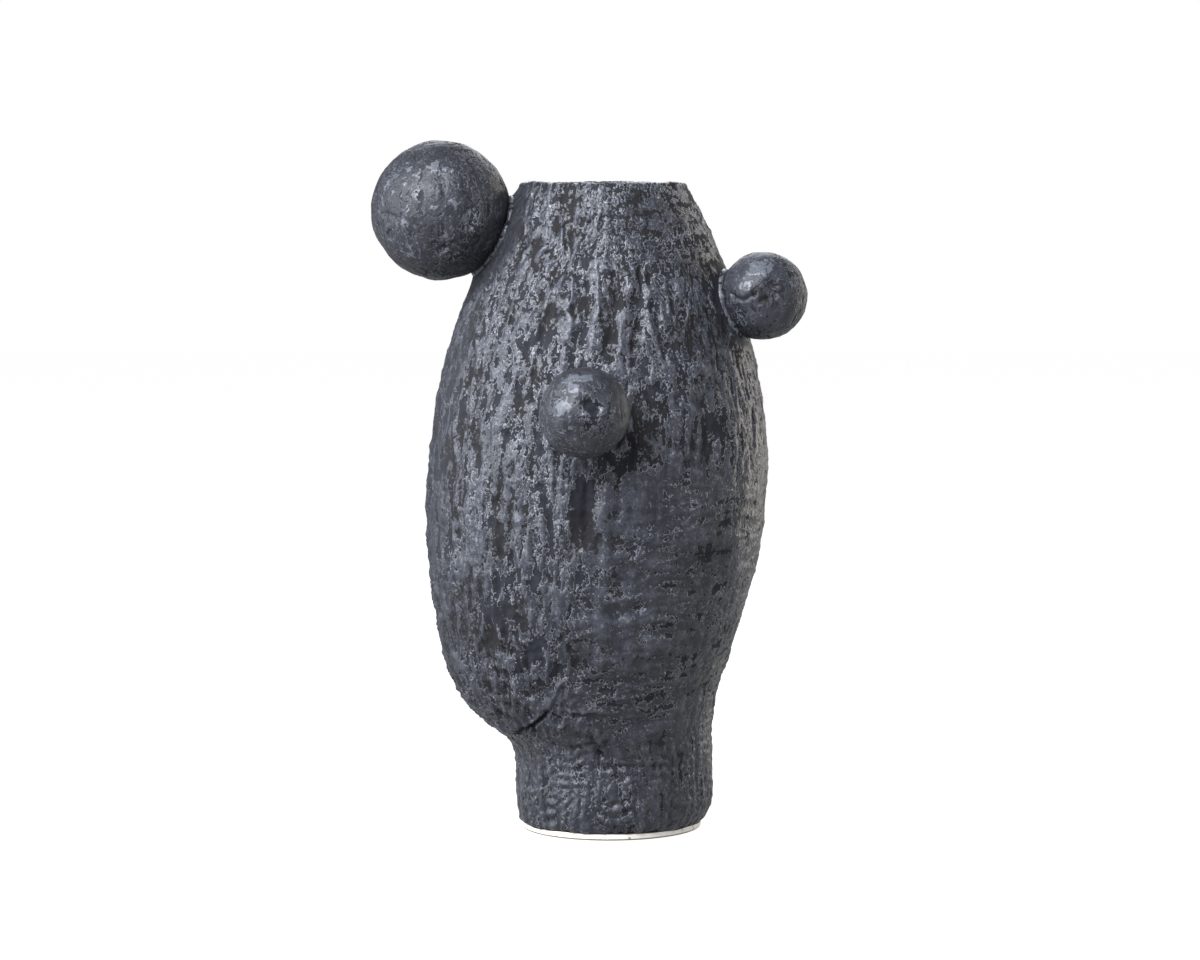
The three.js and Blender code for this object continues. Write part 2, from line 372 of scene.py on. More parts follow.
def smoothstep(low, high, value):
    """0 below low, 1 above high and a smooth rise between them."""
    t = np.clip((value - low) / (high - low), 0, 1)
    return t * t * (3 - 2 * t)


def bump_window(value, low, high, soft):
    """1 between low and high, fading to 0 over a soft margin outside them."""
    return smoothstep(low - soft, low, value) * (1 - smoothstep(high, high + soft, value))


# ---- Noise: one smooth gradient noise, used for every relief ----

GRADIENTS = unit(np.random.default_rng(SEED).normal(size=(GRADIENT_COUNT, 3)))


def noise(points, size, seed):
    """Gradient noise of about -1 to 1. size is the feature size in mm along x, y and z."""
    p = np.asarray(points, dtype=np.float64) / np.asarray(size, dtype=np.float64) + seed * 17.31
    cell = np.floor(p).astype(np.int64)
    f = p - cell
    fade = f * f * f * (f * (f * 6 - 15) + 10)
    total = np.zeros(len(p))
    for corner in np.ndindex(2, 2, 2):
        corner = np.array(corner)
        key = cell + corner
        mixed = key[:, 0] * 73856093 ^ key[:, 1] * 19349663 ^ key[:, 2] * 83492791
        mixed = (mixed ^ (mixed >> 13)) * 1274126177
        gradient = GRADIENTS[(mixed >> 7) % GRADIENT_COUNT]
        weight = np.prod(np.where(corner, fade, 1 - fade), axis=1)
        total += weight * np.einsum("ij,ij->i", gradient, f - corner)
    return total * NOISE_GAIN


def ridged(points, size, seed):
    """Sharp winding ridges, 1 on a ridge and falling towards -1 between them."""
    return 1 - 2 * np.sqrt(np.abs(noise(points, size, seed)) + 1e-6)


def line_relief(points, lines, faintest):
    """Adds up ridges and grooves along lines, each two ends, a half width and a height."""
    total = np.zeros(len(points))
    for start, end, width, height in lines:
        start, along = np.array(start), np.subtract(end, start)
        share = np.clip((points - start) @ along / (along @ along), 0, 1)
        away = np.linalg.norm(points - start - share[:, None] * along, axis=1)
        fade = np.sqrt(np.clip(4 * share * (1 - share), faintest, 1))
        total += height * fade * np.exp(-(away / width) ** 2)
    return total


def wander(points, size, seed):
    """Three noises, one along each axis, to move points by."""
    return np.stack([noise(points, size, seed + axis) for axis in range(3)], axis=1)


# ---- The outline, read from the CAD nodes ----

def cad_vertices(name):
    return np.array([v.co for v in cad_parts[name].data.vertices]) * MM_PER_M


def cad_tree(*names):
    vertices, faces = [], []
    for name in names:
        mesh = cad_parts[name].data
        start = len(vertices)
        vertices += [v.co * MM_PER_M for v in mesh.vertices]
        faces += [[start + i for i in polygon.vertices] for polygon in mesh.polygons]
    return BVHTree.FromPolygons(vertices, faces)


def box_mm(name):
    low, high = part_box(name)
    return np.array(low) * MM_PER_M, np.array(high) * MM_PER_M


def blurred(values, sigma):
    """Gaussian blur down the first axis that keeps the end values and slopes."""
    reach = int(3 * sigma)
    head = 2 * values[:1] - values[reach:0:-1]
    tail = 2 * values[-1:] - values[-2:-reach - 2:-1]
    padded = np.concatenate([head, values, tail])
    kernel = np.exp(-0.5 * (np.arange(-reach, reach + 1) / sigma) ** 2)
    kernel /= kernel.sum()
    return np.stack([np.convolve(column, kernel, mode="valid") for column in padded.T], axis=1)


def ray_distance(tree, origin, direction):
    """Distance to the surface, or not-a-number where the ray slips between two nodes."""
    distance = tree.ray_cast(Vector(origin), Vector(direction))[3]
    return math.nan if distance is None else distance


def mended(readings):
    """Replaces readings that went through a vent hole or a gap between nodes, row by row."""
    half = VENT_ROWS // 2
    padded = np.pad(readings, ((half, half), (0, 0)), mode="edge")
    usual = np.nanmedian(np.lib.stride_tricks.sliding_window_view(padded, VENT_ROWS, axis=0), axis=-1)
    rows = np.arange(len(readings))
    result = readings.copy()
    for column in range(readings.shape[1]):
        good = np.abs(readings[:, column] - usual[:, column]) < WRONG_READING
        result[:, column] = np.interp(rows, rows[good], readings[good, column])
    return result


class Outline:
    """The vase's outer surface as a radius round a leaning centre line."""

    def __init__(self):
        tree = cad_tree(*WALLS)
        foot_low, foot_high = box_mm("foot_wall")
        body_low = box_mm("underbelly")[0][2]
        rim_high = box_mm("rim_coil")[1][2]
        self.foot_low = foot_low[2]
        self.seam = (foot_high[2] + body_low) / 2
        self.rim_top = rim_high
        spans = [
            (self.foot_low + READ_MARGIN, foot_high[2] - READ_MARGIN),
            (body_low + READ_MARGIN, rim_high - READ_TOP_MARGIN),
        ]
        self.spans = [np.linspace(low, high, int((high - low) / READ_HEIGHT_STEP) + 1) for low, high in spans]
        self.centre_heights = np.concatenate(self.spans)
        centres = []
        for z in self.centre_heights:
            left = ray_distance(tree, (-RAY_START, OFF_EDGE, z), (1, 0, 0)) - RAY_START
            right = RAY_START - ray_distance(tree, (RAY_START, OFF_EDGE, z), (-1, 0, 0))
            centres.append((left + right) / 2)
        self.centres = blurred(mended(np.array(centres)[:, None]), OUTLINE_BLUR * 2)[:, 0]
        self.waves = [self.read_span(tree, heights) for heights in self.spans]

    def centre(self, z):
        """How far right of the frame's middle the centre line is at height z."""
        return np.interp(z, self.centre_heights, self.centres)

    def read_span(self, tree, heights):
        """The smoothed radius at each height, as waves round the centre line."""
        angles = all_round(READ_DIRECTIONS) + OFF_EDGE / 30
        radii = np.zeros((len(heights), READ_DIRECTIONS))
        for i, z in enumerate(heights):
            cx = self.centre(z)
            for j, angle in enumerate(angles):
                out = Vector((math.cos(angle), math.sin(angle), 0))
                start = Vector((cx, 0, z)) + out * RAY_START
                radii[i, j] = RAY_START - ray_distance(tree, start, -out)
        radii = blurred(mended(radii), OUTLINE_BLUR)
        orders = np.arange(KEPT_WAVES)
        return radii @ np.exp(-1j * np.outer(angles, orders)) / READ_DIRECTIONS

    def radius(self, angle, z):
        """The outer radius at angles and heights of the same shape."""
        angle, z = np.broadcast_arrays(np.asarray(angle, float), np.asarray(z, float))
        result = np.zeros(angle.shape)
        for part, (heights, waves) in enumerate(zip(self.spans, self.waves)):
            here = z < self.seam if part == 0 else z >= self.seam
            zs = z[here]
            value = np.interp(zs, heights, waves[:, 0].real)
            for k in range(1, KEPT_WAVES):
                real = np.interp(zs, heights, waves[:, k].real)
                imaginary = np.interp(zs, heights, waves[:, k].imag)
                value += 2 * (real * np.cos(k * angle[here]) - imaginary * np.sin(k * angle[here]))
            result[here] = value
        return result

    def over(self, points):
        """How far points stand outside the outer surface, measured level with them."""
        dx = points[:, 0] - self.centre(points[:, 2])
        angle = np.arctan2(points[:, 1], dx)
        return np.hypot(dx, points[:, 1]) - self.radius(angle, points[:, 2])


outline = Outline()


class Ball:
    """A ball's centre and radius, fitted to the outermost vertices of its CAD node."""

    def __init__(self, name):
        vertices = cad_vertices(name)
        centre = vertices.mean(axis=0)
        for _ in range(BALL_FIT_ROUNDS):
            distance = np.linalg.norm(vertices - centre, axis=1)
            outer = vertices[distance > np.quantile(distance, BALL_FIT_FROM)]
            system = np.c_[2 * outer, np.ones(len(outer))]
            solution = np.linalg.lstsq(system, (outer ** 2).sum(axis=1), rcond=None)[0]
            centre = solution[:3]
        self.name = name
        self.centre = centre
        self.radius = math.sqrt(solution[3] + centre @ centre)
        collar_low, collar_high = box_mm(name + "_collar")
        self.towards_seat = unit((collar_low + collar_high) / 2 - centre)

    def gap(self, points):
        """How far points stand off the ball's sphere."""
        return np.linalg.norm(points - self.centre, axis=1) - self.radius


balls = [Ball(name) for name in BALL_SEEDS]


# ---- Relief of the hand-worked clay ----
# Each layer of relief is a share of a noise with its feature size (along x, y and z) and its seed.

def front_turn(points):
    """Degrees round from the front of the vase, positive towards its right."""
    dx = points[:, 0] - outline.centre(points[:, 2])
    return (np.degrees(np.arctan2(points[:, 1], dx)) + 270) % 360 - 180


def in_area(points, area):
    """1 inside one of the body's areas, fading to 0 round it."""
    turns, heights = area
    return bump_window(front_turn(points), *turns) * bump_window(points[:, 2], *heights)


def level_strokes(points):
    """Where the clay was worked sideways: 0 for upright strokes, 1 for level ones."""
    behind = smoothstep(80, 115, np.abs(front_turn(points)))
    here_and_there = smoothstep(0.1, 0.45, noise(points, 62, 3)) * behind
    return np.maximum.reduce([in_area(points, RIGHT_BELLY), in_area(points, RIGHT_OF_RIM), here_and_there])


def joint_smoothness(points):
    """1 where fingers smoothed the clay round a ball's joint, 0 away from the joints."""
    smooth = np.zeros(len(points))
    for ball in balls:
        reach = SMOOTHED_REACH[ball.name]
        gap = ball.gap(points) + 2 * noise(points, 9, 5)
        smooth = np.maximum(smooth, 1 - smoothstep(reach * 0.45, reach, gap))
    return smooth


def joint_swell(points):
    """How far the body swells to meet each ball."""
    swell = np.zeros(len(points))
    for ball in balls:
        gap = np.maximum(ball.gap(points), 0)
        swell = np.maximum(swell, JOINT_SWELL * np.exp(-(gap / JOINT_SWELL_REACH) ** 2))
    return swell


def upright_relief(p):
    """Long winding ridges with narrower strokes on them, all upright, and a few level ones across."""
    ridges = 0.7 * ridged(p, (8.5, 8.5, 36), 11)
    strokes = 0.55 * noise(p, (4.2, 4.2, 22), 12)
    streaks = 0.3 * noise(p, (2.3, 2.3, 9), 13)
    across = 0.45 * noise(p, (14, 14, 5), 14)
    return ridges + strokes + streaks + across


def level_relief(p):
    """Broad level dabs with narrower strokes on them, and a few upright ones across."""
    dabs = 0.5 * noise(p, (34, 34, 9), 21)
    strokes = 0.42 * ridged(p, (26, 26, 6), 22)
    streaks = 0.25 * noise(p, (10, 10, 2.6), 23)
    across = 0.35 * noise(p, (4.5, 4.5, 20), 24)
    return dabs + strokes + streaks + across


def woven_relief(p):
    """Upright and level strokes that cross like a weave, as on the foot."""
    turn = np.radians(front_turn(p))
    upright = np.cos(UPRIGHT_STROKES * turn + 3.2 * noise(p, (15, 15, 24), 31))
    level = np.cos(2 * math.pi * p[:, 2] / LEVEL_STROKE + 3.2 * noise(p, (15, 15, 18), 32))
    which = smoothstep(-0.3, 0.2, noise(p, (13, 13, 13), 34) + 0.12)
    strokes = which * upright + (1 - which) * level
    strength = 0.2 + 0.16 * noise(p, 16, 35)
    lumps = 0.3 * noise(p, (9, 9, 12), 36)
    skin = 0.1 * noise(p, 2.6, 33)
    return strength * strokes + 0.1 * upright * level + lumps + skin


def outer_relief(points):
    """Height of the worked clay over the smooth outline, and the same height before smoothing."""
    turn, z = front_turn(points), points[:, 2]
    p = points + DRIFT * wander(points, 19, 41)
    level = level_strokes(p)
    on_foot = 1 - smoothstep(*FOOT_TO_BODY, z)
    worked = (1 - level) * upright_relief(p) + level * level_relief(p)
    worked = (1 - on_foot) * worked + on_foot * woven_relief(p)
    worked *= 1 - RIGHT_RELIEF_LOSS * smoothstep(20, 70, turn) * (1 - smoothstep(70, 110, turn))
    lumps = 0.72 * noise(points, (34, 34, 46), 51) + 0.48 * noise(points, (12, 12, 17), 52)
    skin = 0.16 * noise(points, 2.1, 53)
    keep = 1 - SMOOTHED_RELIEF_LOSS * joint_smoothness(points)
    depth = RELIEF_DEPTH + LOW_RELIEF_EXTRA * (1 - smoothstep(*LOW_RELIEF_ENDS, z))
    height = depth * keep * (worked + skin) + lumps * (0.45 + 0.55 * keep)
    return height + joint_swell(points), (worked + skin) * keep


def calm_areas(points):
    """1 where the glaze lies evenly: the lower right of the front, and the foot."""
    turn, z = front_turn(points), points[:, 2]
    on_right = smoothstep(-30, 25, turn) * (1 - smoothstep(90, 130, np.abs(turn)))
    return np.maximum(on_right * (1 - smoothstep(200, 290, z)), 1 - smoothstep(60, 130, z))


def bare_and_shade_patches(points):
    """1 in the listed patches of the front: painted shade beside and below the front ball and left of the
    right ball, and patches with little glaze elsewhere.
    """
    share = np.zeros(len(points))
    drift = 5 * noise(points, 11, 66)
    for x, z, across, up in BARE_AND_SHADE_PATCHES:
        away = np.hypot((points[:, 0] - x + drift) / across, (points[:, 2] - z + drift) / up)
        share = np.maximum(share, np.where(points[:, 1] < 0, 1 - smoothstep(0.3, 1.5, away), 0))
    return share


def satin_glaze(points, worked, matte_share):
    """Where the satin blue-grey glaze lies over the matte brown one: above 0 it covers."""
    level = level_strokes(points)
    upright_streaks = noise(points, (2.7, 2.7, 13), 61)
    level_streaks = noise(points, (15, 15, 3.4), 65)
    streaks = (1 - level) * upright_streaks + level * level_streaks
    patches = noise(points, (5, 5, 9), 62)
    wide = noise(points, (26, 26, 30), 64)
    specks = noise(points, 1.7, 63)
    cover = 0.8 * worked + 0.95 * streaks + 0.28 * patches + 0.2 * wide + 0.6 * specks
    return cover - np.quantile(cover, matte_share) + CALM_COVER * calm_areas(points)


# ---- Mesh making ----

def grid_faces(rows, columns, start=0, flip=False, closed=False):
    """Quads of a grid of rows that each close on themselves. closed also joins the last row to the first."""
    r, c = np.meshgrid(np.arange(rows if closed else rows - 1), np.arange(columns), indexing="ij")
    after = (c + 1) % columns
    low, high = start + r * columns, start + (r + 1) % rows * columns
    quads = np.stack([low + c, low + after, high + after, high + c], axis=-1).reshape(-1, 4)
    return quads[:, ::-1] if flip else quads


def fan(middle, ring, flip=False):
    """Triangles from a middle vertex to a ring of vertices."""
    faces = np.stack([np.full_like(ring, middle), ring, np.roll(ring, -1)], axis=1)
    return faces[:, ::-1] if flip else faces


def ring_to_half_ring(ring, half, flip):
    """Faces from a ring of vertices to one with half as many."""
    j = np.arange(len(half))
    a, b = ring[2 * j], ring[2 * j + 1]
    c = ring[(2 * j + 2) % len(ring)]
    p, q = half[j], half[(j + 1) % len(half)]
    faces = np.concatenate([np.stack(t, axis=1) for t in ((a, b, p), (b, q, p), (b, c, q))])
    return faces[:, ::-1] if flip else faces


def new_piece(name, vertices_mm, face_blocks, normals=None, layers=None):
    """Makes the visible piece that stands for a CAD node."""
    faces = [face for block in face_blocks for face in block.tolist()]
    mesh = bpy.data.meshes.new(name)
    mesh.from_pydata((vertices_mm / MM_PER_M).tolist(), [], faces)
    mesh.shade_smooth()
    for layer, values in (layers or {}).items():
        attribute = mesh.attributes.new(layer, "FLOAT", "POINT")
        attribute.data.foreach_set("value", np.full(len(vertices_mm), values, dtype=np.float32))
    if normals is not None:
        mesh.normals_split_custom_set_from_vertices(normals.tolist())
    piece = bpy.data.objects.new(name + "_visual", mesh)
    bpy.context.scene.collection.objects.link(piece)
    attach(piece, "root")
    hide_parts(name)
    return piece


def glaze_outside(piece):
    piece.data.materials.append(outer_glaze)


def grid_normals(grid):
    """Outward normals of a grid [row, column, xyz] whose columns go round anticlockwise."""
    round_way = np.roll(grid, -1, axis=1) - np.roll(grid, 1, axis=1)
    up_way = np.gradient(grid, axis=0)
    return unit(np.cross(round_way, up_way))


def pushed_out(grid, heights):
    """A grid moved along its normals, by one height for each point."""
    return grid + grid_normals(grid) * heights.reshape(grid.shape[:2])[:, :, None]


# ---- The walls: foot, body bands and rim ----

def even_rows(low, high, step):
    return np.linspace(low, high, max(2, int(round((high - low) / step))) + 1)


def wall_seams():
    """The height of each wall node's bottom and top, with neighbours meeting halfway."""
    boxes = [box_mm(name) for name in WALLS]
    lows = [low[2] for low, _ in boxes]
    highs = [high[2] for _, high in boxes]
    return [lows[0]] + [(high + low) / 2 for high, low in zip(highs, lows[1:])] + [highs[-1]]


def wall_point(angle, z, inset):
    """Points at angles and heights of the same shape, inset from the outer surface."""
    radius = outline.radius(angle, z) - inset
    return np.stack([outline.centre(z) + radius * np.cos(angle), radius * np.sin(angle), z], axis=-1)


def wall_grid(angles, heights, inset):
    return wall_point(*np.broadcast_arrays(angles[None, :], heights[:, None]), inset)


def front_marks(points):
    """Height of the folds, grooves and cracks in the front."""
    height = np.zeros(len(points))
    in_front = points[:, 1] < 0
    front = points[in_front]
    seen = front[:, [0, 2]] + MARK_DRIFT * np.stack([noise(front, 13, 46), noise(front, 13, 47)], axis=1)
    lines = [((x0, z0), (x1, z1), width, depth) for x0, z0, x1, z1, width, depth in FRONT_MARKS]
    height[in_front] = line_relief(seen, lines, MARK_END)
    return height


def body_layers(points, worked, marks):
    """The numbers that the outer glaze reads at each vertex of the walls."""
    joint, calm = joint_smoothness(points), calm_areas(points)
    edge, bare_and_shade = in_area(points, SMOOTHED_AND_SHADED_LEFT_EDGE), bare_and_shade_patches(points)
    satin = satin_glaze(points, worked + 0.35 * marks, MATTE_SHARE)
    return {
        # Where the patches lie, satin glaze and smoothing are taken away, leaving the darkest brown: painted
        # shade beside the front and right balls, little glaze elsewhere.
        "satin": satin + np.minimum(marks + MARK_LOSS, 0) - BARE_AND_SHADE_LOSS * bare_and_shade,
        # Painted light and shade: the satin slate is lighter on ridges and darker in grooves.
        "raised": worked + 0.6 * marks,
        # smoothing darkens the glaze; at the left edge this is partly smoother clay and partly painted shade
        "smoothed": np.maximum.reduce([joint, 0.12 * calm, 0.6 * edge]) * (1 - bare_and_shade),
        "ragged": 1 - 0.6 * joint - 0.25 * calm - 0.5 * edge,
    }


def worked_grid(smooth_grid):
    """Pushes a smooth outer grid out by the relief. Gives the grid and its glaze layers."""
    points = smooth_grid.reshape(-1, 3)
    height, worked = outer_relief(points)
    marks = front_marks(points)
    layers = body_layers(points, worked, marks)
    rows_and_columns = smooth_grid.shape[:2]
    layers = {key: values.reshape(rows_and_columns) for key, values in layers.items()}
    return pushed_out(smooth_grid, height + marks), layers


def foot_edge_inset(angle, z):
    """How far the foot's bottom edge is rounded in, more at the right than elsewhere."""
    right = np.clip(np.cos(angle + FOOT_EDGE_TURN), 0, 1) ** 2
    depth = (1 - right) * FOOT_EDGE[0] + right * FOOT_EDGE_RIGHT[0]
    height = (1 - right) * FOOT_EDGE[1] + right * FOOT_EDGE_RIGHT[1]
    return depth * np.clip(1 - (z - outline.foot_low) / height, 0, 1) ** 2


def inner_grid(angles, heights, inset):
    """The inside of a band, with its dents and a recess round each vent hole."""
    grid = wall_grid(angles, heights, inset)
    points = grid.reshape(-1, 3)
    dents = INNER_DENTS * (noise(points, (16, 16, 9), 71) + 0.5 * noise(points, 6, 72))
    for ball in balls:
        off_axis = np.linalg.norm(np.cross(points - ball.centre, ball.towards_seat), axis=1)
        near = ball.gap(points) < ball.radius * 0.6
        dents += np.where(near, VENT_RECESS * (1 - smoothstep(*VENT_EDGE, off_axis)), 0)
    return pushed_out(grid, dents)


def make_walls():
    """The foot, the bands of the body and the rim, cut from one worked grid."""
    seams = wall_seams()
    angles = all_round(COLUMNS)
    bands = []
    for i, name in enumerate(WALLS):
        top = seams[i + 1] - (LIP_ROUNDING if name == WALLS[-1] else 0)
        bands.append(even_rows(seams[i], top, FINER_ROWS.get(name, BODY_ROW)))
    heights = np.concatenate([bands[0]] + [band[1:] for band in bands[1:]])
    smooth = wall_grid(angles, heights, 0)
    edge = foot_edge_inset(angles[None, :], heights[:, None])
    smooth[:, :, 0] -= edge * np.cos(angles)
    smooth[:, :, 1] -= edge * np.sin(angles)
    lip = lip_rows(angles, heights[-1])
    inside_lip = np.linspace(heights[-1], seams[-2], NECK_ROWS)[1:]
    inside = wall_grid(angles, inside_lip, RIM_WALL)
    full = np.concatenate([smooth, lip, inside])
    worked, full_layers = worked_grid(full)
    fade = lip_fade(len(heights), len(lip), len(inside))
    worked = full + (worked - full) * fade[:, None, None]
    worked[:, :, 2] += lip_wave(angles)[None, :] * rim_share(full[:, :, 2])
    normals = grid_normals(worked)
    start = 0
    for i, name in enumerate(WALLS):
        last = name == WALLS[-1]
        stop = len(full) if last else start + len(bands[i])
        part = worked[start:stop].reshape(-1, 3)
        part_normals = normals[start:stop].reshape(-1, 3)
        layers = {key: value[start:stop].reshape(-1) for key, value in full_layers.items()}
        if last:
            make_rim(name, part, part_normals, layers, stop - start)
        else:
            make_band(name, part, part_normals, layers, stop - start, seams[i], seams[i + 1])
        start = stop - 1


def lip_rows(angles, low):
    """Rows over the lip, from the outside edge to the inside edge."""
    turns = np.linspace(0, math.pi, LIP_ROWS + 1)[1:]
    rows = []
    for turn in turns:
        across = (1 - math.copysign(abs(math.cos(turn)) ** 0.8, math.cos(turn))) / 2
        z = low + LIP_ROUNDING * math.sin(turn) ** 0.75
        ring = wall_point(angles, np.full_like(angles, low), across * RIM_WALL)
        ring[:, 2] = z
        rows.append(ring)
    return np.array(rows)


def lip_fade(outside, lip, inside):
    """How much relief each row takes: all of it outside, little over the lip and inside."""
    over_lip = 1 - (1 - LIP_RELIEF) * smoothstep(0, 0.35, np.linspace(0, 1, lip))
    return np.concatenate([np.ones(outside), over_lip, np.full(inside, LIP_RELIEF)])


def lip_wave(angles):
    """How far the rim rises and dips on its way round."""
    loop = LIP_WAVE_LOOP * np.stack([np.cos(angles), np.sin(angles), 0 * angles], axis=1)
    return LIP_WAVE * (noise(loop, 13, 81) + 0.5 * noise(loop, 6, 82))


def rim_share(z):
    """1 at the rim, 0 well below it."""
    fade_start, fade_end = LIP_WAVE_REACH
    return smoothstep(outline.rim_top - fade_start, outline.rim_top - fade_end, z)


def make_band(name, outer, outer_normals, layers, rows, low, high):
    """A band from its worked outside and an inside with half as many columns."""
    heights = even_rows(low, high, INNER_ROW)
    wall = FOOT_WALL if name == WALLS[0] else BODY_WALL
    inner = inner_grid(all_round(INNER_COLUMNS), heights, wall)
    inner_normals = -grid_normals(inner).reshape(-1, 3)
    inner_points = inner.reshape(-1, 3)
    start = len(outer)
    outer_ring = np.arange(COLUMNS)
    inner_ring = start + np.arange(INNER_COLUMNS)
    top_outer = outer_ring + (rows - 1) * COLUMNS
    top_inner = inner_ring + (len(heights) - 1) * INNER_COLUMNS
    faces = [
        grid_faces(rows, COLUMNS),
        grid_faces(len(heights), INNER_COLUMNS, start, flip=True),
        ring_to_half_ring(outer_ring, inner_ring, flip=True),
        ring_to_half_ring(top_outer, top_inner, flip=False),
    ]
    layers["inside"] = np.zeros(start)
    inner_layer = np.ones(len(inner_points))
    layers = {key: np.concatenate([values, inner_layer]) for key, values in layers.items()}
    points = np.concatenate([outer, inner_points])
    normals = np.concatenate([outer_normals, inner_normals])
    glaze_outside(new_piece(name, points, faces, normals, layers))


def make_rim(name, vertices, normals, layers, rows):
    """The rim, whose rows go over the lip and down the neck, and close on the first row."""
    layers["inside"] = np.repeat(np.linspace(0, 1, rows) > INSIDE_FROM, COLUMNS)
    glaze_outside(new_piece(name, vertices, [grid_faces(rows, COLUMNS, closed=True)], normals, layers))


# ---- The foot's slab and the seam coil ----

def slab_profile(floor_height):
    """From the middle of the slab's underside, round its edge, to the middle of its top.

    Each row is a share of the radius, how far the edge is inset there, and the height.
    """
    top = outline.foot_low - SLAB_GAP
    corner = FLANGE_INSET + SLAB_ROUNDING
    floor_inset = FOOT_WALL + SLAB_CLEARANCE
    outwards = np.linspace(SLAB_MIDDLE, 1, SLAB_ROWS)
    rows = [(share, corner, 0) for share in outwards]
    for turn in np.linspace(0, math.pi / 2, SLAB_EDGE_ROWS + 2)[1:]:
        rows.append((1, corner - SLAB_ROUNDING * math.sin(turn), SLAB_ROUNDING * (1 - math.cos(turn))))
    for z in np.linspace(SLAB_ROUNDING, top, SLAB_EDGE_ROWS + 1)[1:]:
        rows.append((1, FLANGE_INSET * (1 - FLANGE_FLARE * z / top), z))
    rows += [(1, inset, top) for inset in np.linspace(FLANGE_INSET, floor_inset, SLAB_EDGE_ROWS + 1)[1:]]
    rows += [(1, floor_inset, z) for z in np.linspace(top, floor_height, SLAB_EDGE_ROWS)[1:]]
    rows += [(share, floor_inset, floor_height) for share in outwards[-2::-1]]
    return np.array(rows)


def make_slab():
    """The bare slab under the foot, with the floor of the vase on it."""
    floor_height = box_mm("foot_slab")[1][2]
    angles = all_round(INNER_COLUMNS)
    above_edge = outline.foot_low + 1
    edge_radius = outline.radius(angles, above_edge) - foot_edge_inset(angles, outline.foot_low)
    centre = outline.centre(above_edge)
    share, inset, z = slab_profile(floor_height).T[:, :, None]
    radius = share * (edge_radius - inset)
    grid = np.stack([centre + radius * np.cos(angles), radius * np.sin(angles), z + 0 * radius], axis=-1)
    points = grid.reshape(-1, 3)
    off_table = smoothstep(0.2, 1.2, points[:, 2])
    worked = pushed_out(grid, SLAB_RELIEF * noise(points, 5, 91) * off_table).reshape(-1, 3)
    vertices = np.concatenate([worked, [[centre, 0, 0], [centre, 0, floor_height]]])
    first_ring = np.arange(INNER_COLUMNS)
    last_ring = first_ring + len(points) - INNER_COLUMNS
    bottom = fan(len(points), first_ring, flip=True)
    top = fan(len(points) + 1, last_ring)
    piece = new_piece("foot_slab", vertices, [grid_faces(len(grid), INNER_COLUMNS), bottom, top])
    piece.data.materials.append(bare_clay)


def make_seam_coil():
    """The coil pressed into the seam inside, thumbed on the side that isn't against the wall."""
    low, high = box_mm("seam_coil")
    middle, half = (low[2] + high[2]) / 2, (high[2] - low[2]) / 2
    angles, turns = all_round(INNER_COLUMNS), all_round(COIL_SIDES)
    into_vase = np.clip(np.cos(turns), 0, 1)
    insets = FOOT_WALL + COIL_CLEARANCE + COIL_BULGE * into_vase ** 0.8
    grid = wall_grid(angles, middle + half * np.sin(turns), insets[:, None])
    thumbed = COIL_RELIEF * noise(grid.reshape(-1, 3), (11, 11, 8), 95).reshape(grid.shape[:2])
    grid[:, :, 0] -= thumbed * into_vase[:, None] * np.cos(angles)
    grid[:, :, 1] -= thumbed * into_vase[:, None] * np.sin(angles)
    faces = grid_faces(COIL_SIDES, INNER_COLUMNS, flip=True, closed=True)
    piece = new_piece("seam_coil", grid.reshape(-1, 3), [faces])
    piece.data.materials.append(inner_glaze)


# ---- The balls and their collars ----

def cube_sphere(steps):
    """Unit vectors and quads of a sphere made from a cube's six faces."""
    edge = np.tan(np.linspace(-math.pi / 4, math.pi / 4, steps + 1))
    u, v = np.meshgrid(edge, edge, indexing="ij")
    one = np.ones_like(u)
    sides = [(one, u, v), (-one, v, u), (v, one, u), (u, -one, v), (u, v, one), (v, u, -one)]
    points = unit(np.concatenate([np.stack(side, axis=-1).reshape(-1, 3) for side in sides]))
    _, first, where = np.unique(np.round(points, 6), axis=0, return_index=True, return_inverse=True)
    r, c = np.meshgrid(np.arange(steps), np.arange(steps), indexing="ij")
    a = (r * (steps + 1) + c).reshape(-1)
    quad = np.stack([a, a + steps + 1, a + steps + 2, a + 1], axis=1)
    quads = np.concatenate([quad + side * (steps + 1) ** 2 for side in range(len(sides))])
    return points[first], where.reshape(-1)[quads]


def spot_sum(spots, directions, radius):
    """Adds up round spots on a ball, each a direction, a size in mm and a height."""
    total = np.zeros(len(directions))
    for direction, size, height in spots:
        away = np.arccos(np.clip(directions @ unit(np.array(direction)), -1, 1)) * radius
        total += height * np.exp(-(away / size) ** 2)
    return total


def fold_sum(folds, directions, radius):
    """Adds up straight folds on a ball, each two directions, a half width in mm and a depth."""
    lines = []
    for start, end, width, depth in folds:
        lines.append((radius * unit(np.array(start)), radius * unit(np.array(end)), width, depth))
    return line_relief(directions * radius, lines, FOLD_END)


